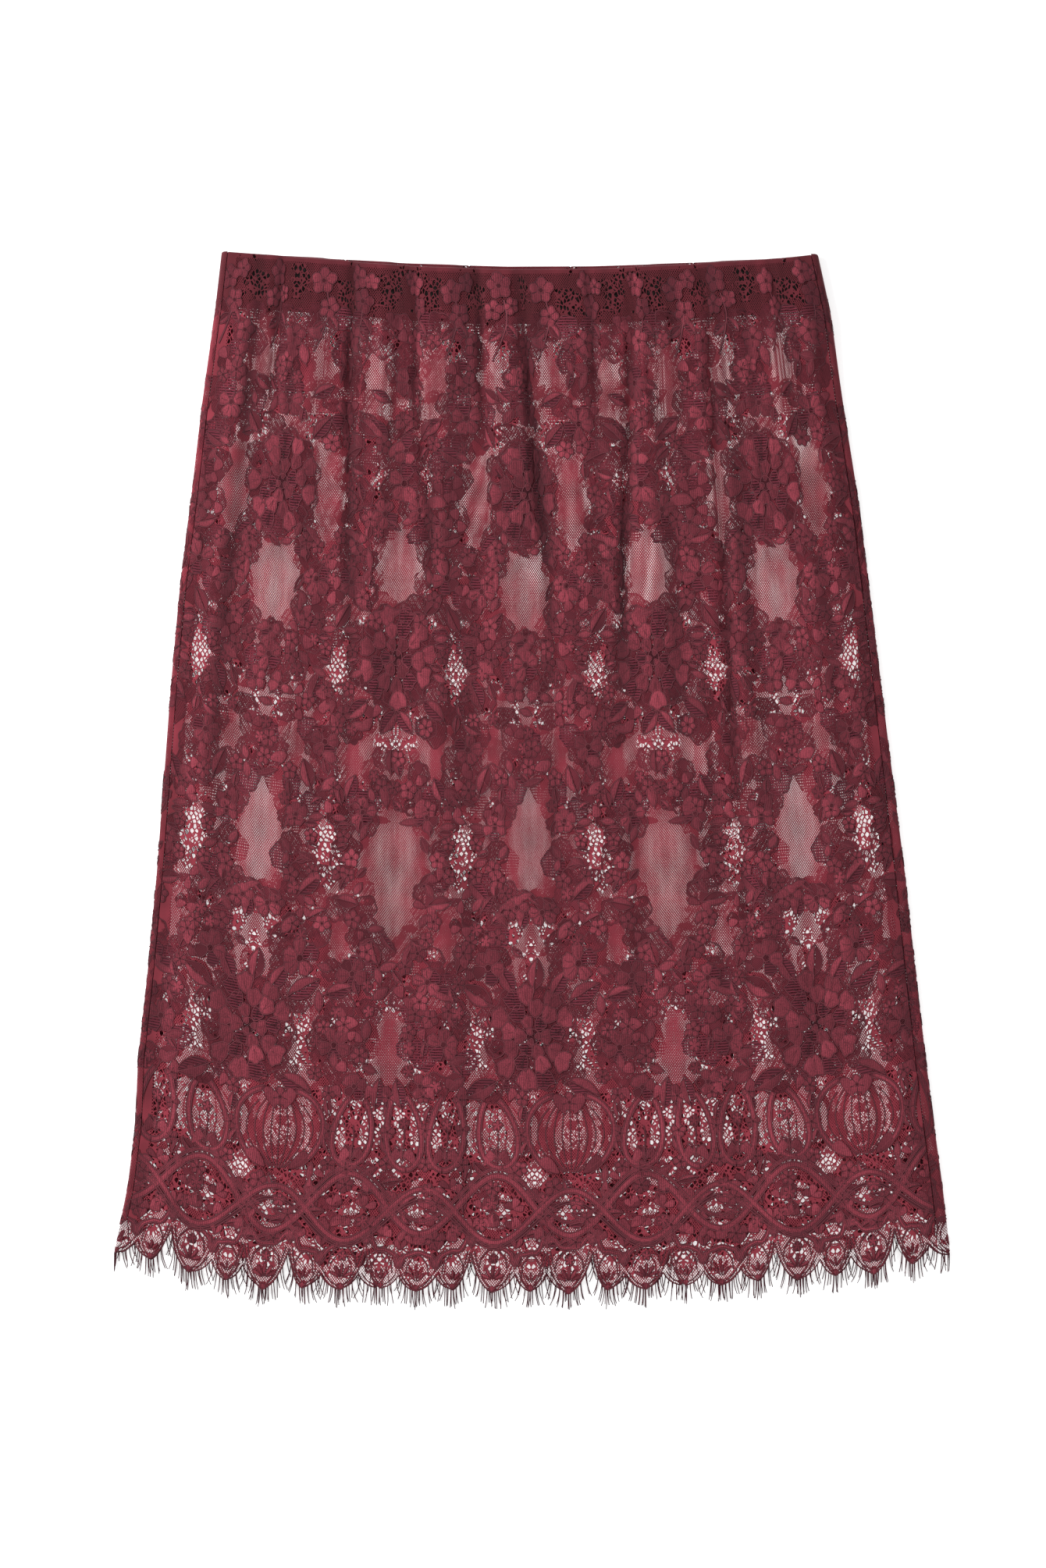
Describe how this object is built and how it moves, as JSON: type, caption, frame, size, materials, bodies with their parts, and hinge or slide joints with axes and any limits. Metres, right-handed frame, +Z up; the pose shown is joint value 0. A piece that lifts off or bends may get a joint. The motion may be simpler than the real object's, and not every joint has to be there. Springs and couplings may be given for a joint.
{
  "type": "lace pencil skirt",
  "caption": "Pull-on pencil skirt of unlined burgundy corded floral lace, laid flat, with a gathered elastic waist and a scalloped hem with an eyelash fringe.",
  "frame": {"origin": "centre of the laid skirt's outline, on the surface that it lies on", "axes": "+X across the skirt to its right in the picture, +Y along it towards the waist, +Z up off the surface, out of the front"},
  "size_m": [0.5336, 0.677, 0.0103],
  "materials": {
    "lace": "corded nylon and cotton lace, matt with a soft sheen on the raised cords",
    "elastic": "ribbed dark woven elastic, matt",
    "thread": "loose twisted threads, slightly shiny"
  },
  "bodies": {
    "root": {"front_panel": "lace", "back_panel": "lace", "waist_elastic": "elastic", "seam_allowance_left": "lace", "seam_allowance_right": "lace", "lash_fringe_front": "thread", "lash_fringe_back": "thread"}
  },
  "joints": []
}
